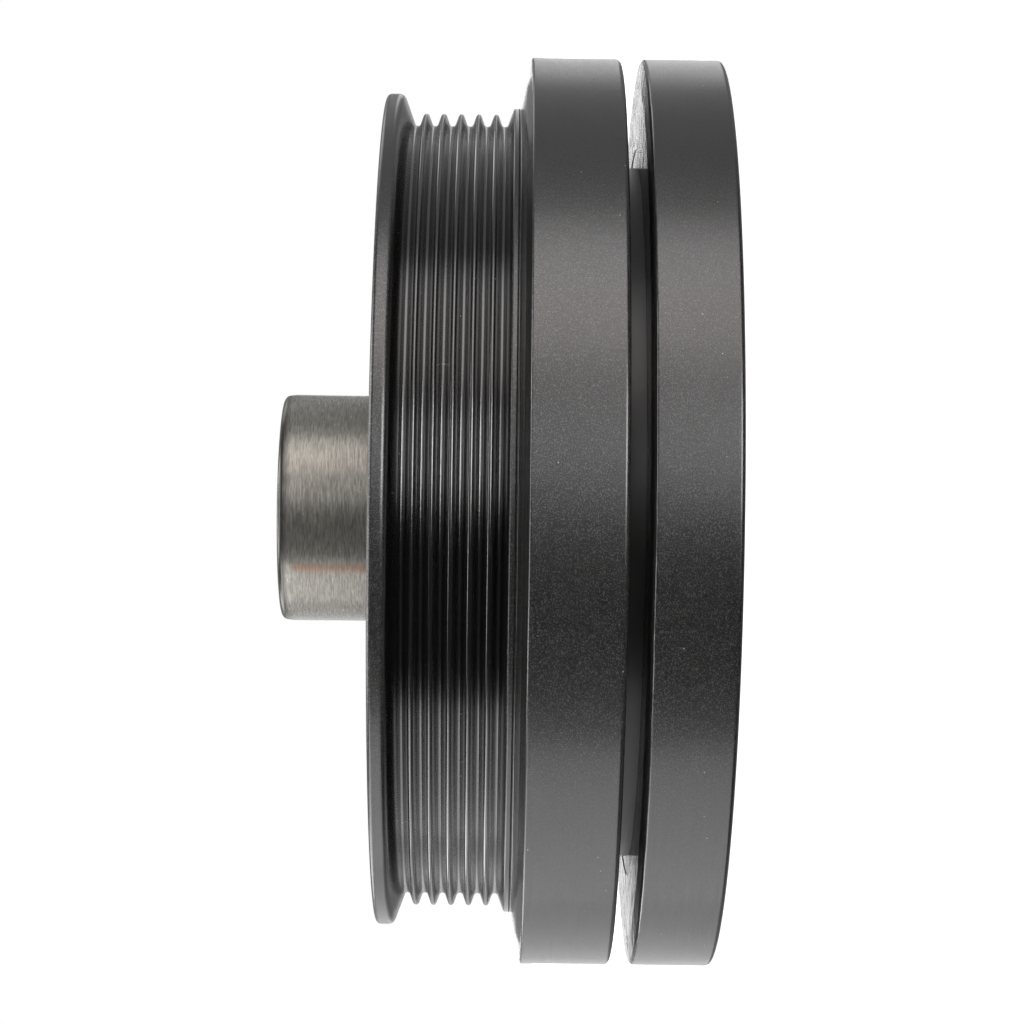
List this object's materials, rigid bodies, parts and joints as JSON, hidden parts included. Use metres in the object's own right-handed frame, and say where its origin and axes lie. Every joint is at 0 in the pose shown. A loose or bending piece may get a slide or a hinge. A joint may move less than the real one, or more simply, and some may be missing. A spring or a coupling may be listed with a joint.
{
  "type": "harmonic balancer",
  "caption": "Crankshaft harmonic balancer: cast hub with seal snout, ribbed belt pulley ring and a separate front inertia ring, both carried on rubber.",
  "frame": {"origin": "on the turning axis, in the plane of the front inertia ring's flat front face", "axes": "+Z along the turning axis, from the front face towards the engine; the seal snout points up; the keyway lies on +X"},
  "size_m": [0.1862, 0.1862, 0.0884],
  "materials": {
    "hub_iron": "satin black paint on the casting, bare ground iron on snout, bore and bolt seat",
    "pulley_iron": "satin black paint over a turned surface",
    "ring_iron": "satin black paint over a turned surface",
    "rubber": "dull black moulded rubber"
  },
  "bodies": {
    "root": {"hub": "hub_iron", "rear_rubber_band": "rubber", "pulley_ring": "pulley_iron", "front_rubber_band": "rubber", "front_inertia_ring": "ring_iron"}
  },
  "joints": []
}
